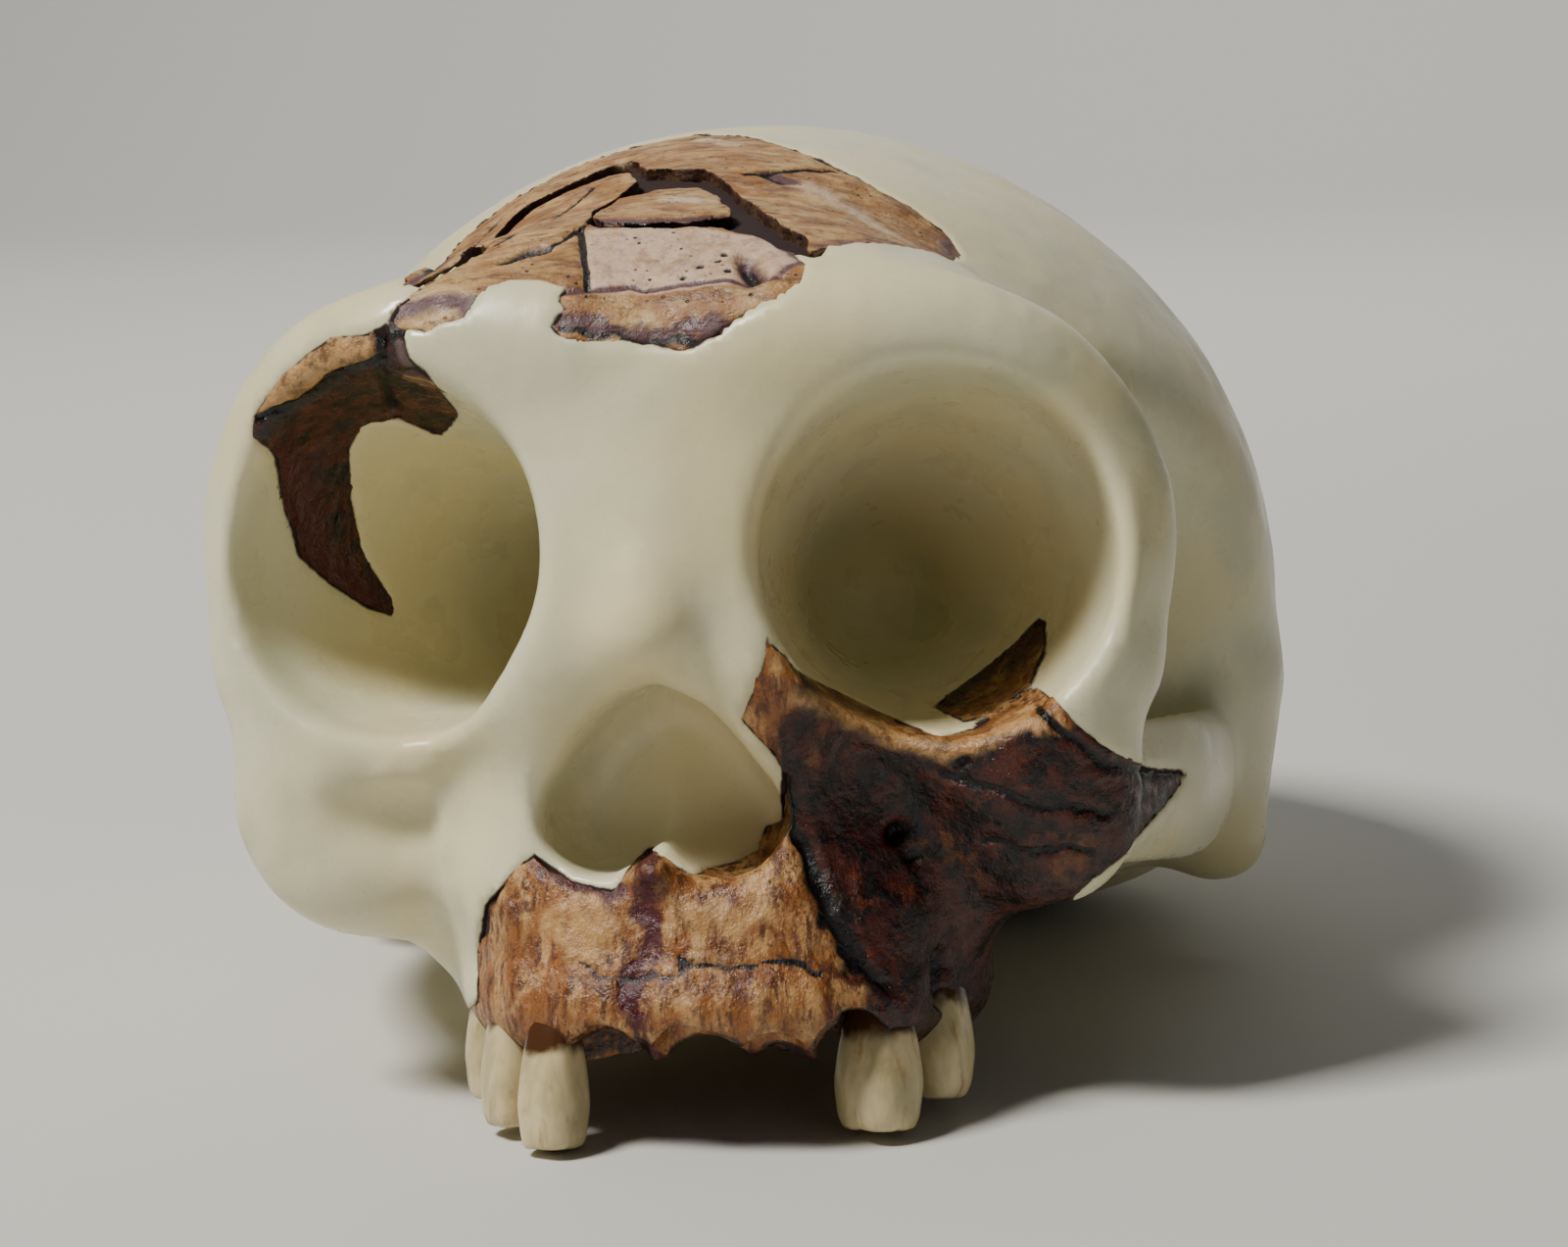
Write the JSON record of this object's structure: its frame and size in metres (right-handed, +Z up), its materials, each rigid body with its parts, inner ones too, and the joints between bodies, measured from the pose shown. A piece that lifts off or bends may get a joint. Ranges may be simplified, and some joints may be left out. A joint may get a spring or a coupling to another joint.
{
  "type": "fossil hominin skull",
  "caption": "Low-vaulted skull without a lower jaw: pale cast braincase and face, brown fossil forehead plates, orbit lining, left cheek and upper jaw, and worn teeth.",
  "frame": {"origin": "middle of the skull's footprint, on the surface it stands on", "axes": "+Z up, +Y from the face to the back of the head along the skull's length, +X to the skull's own left"},
  "size_m": [0.1308, 0.1756, 0.1074],
  "materials": {
    "cast": "smooth cream reconstruction resin with a soft sheen",
    "forehead_bone": "mineralised bone, tan and ochre with dark cracks",
    "face_bone": "mineralised bone, red-brown to near black, in places glossy",
    "enamel": "worn ivory enamel with brown stain at the necks"
  },
  "bodies": {
    "root": {"cranium": "cast", "frontal_upper_fragment": "forehead_bone", "frontal_lower_fragment": "forehead_bone", "frontal_shard": "forehead_bone", "orbit_fragment": "face_bone", "face_fragment": "face_bone", "right_canine": "enamel", "right_first_premolar": "enamel", "right_second_premolar": "enamel", "left_first_molar": "enamel", "left_second_molar": "enamel"}
  },
  "joints": []
}
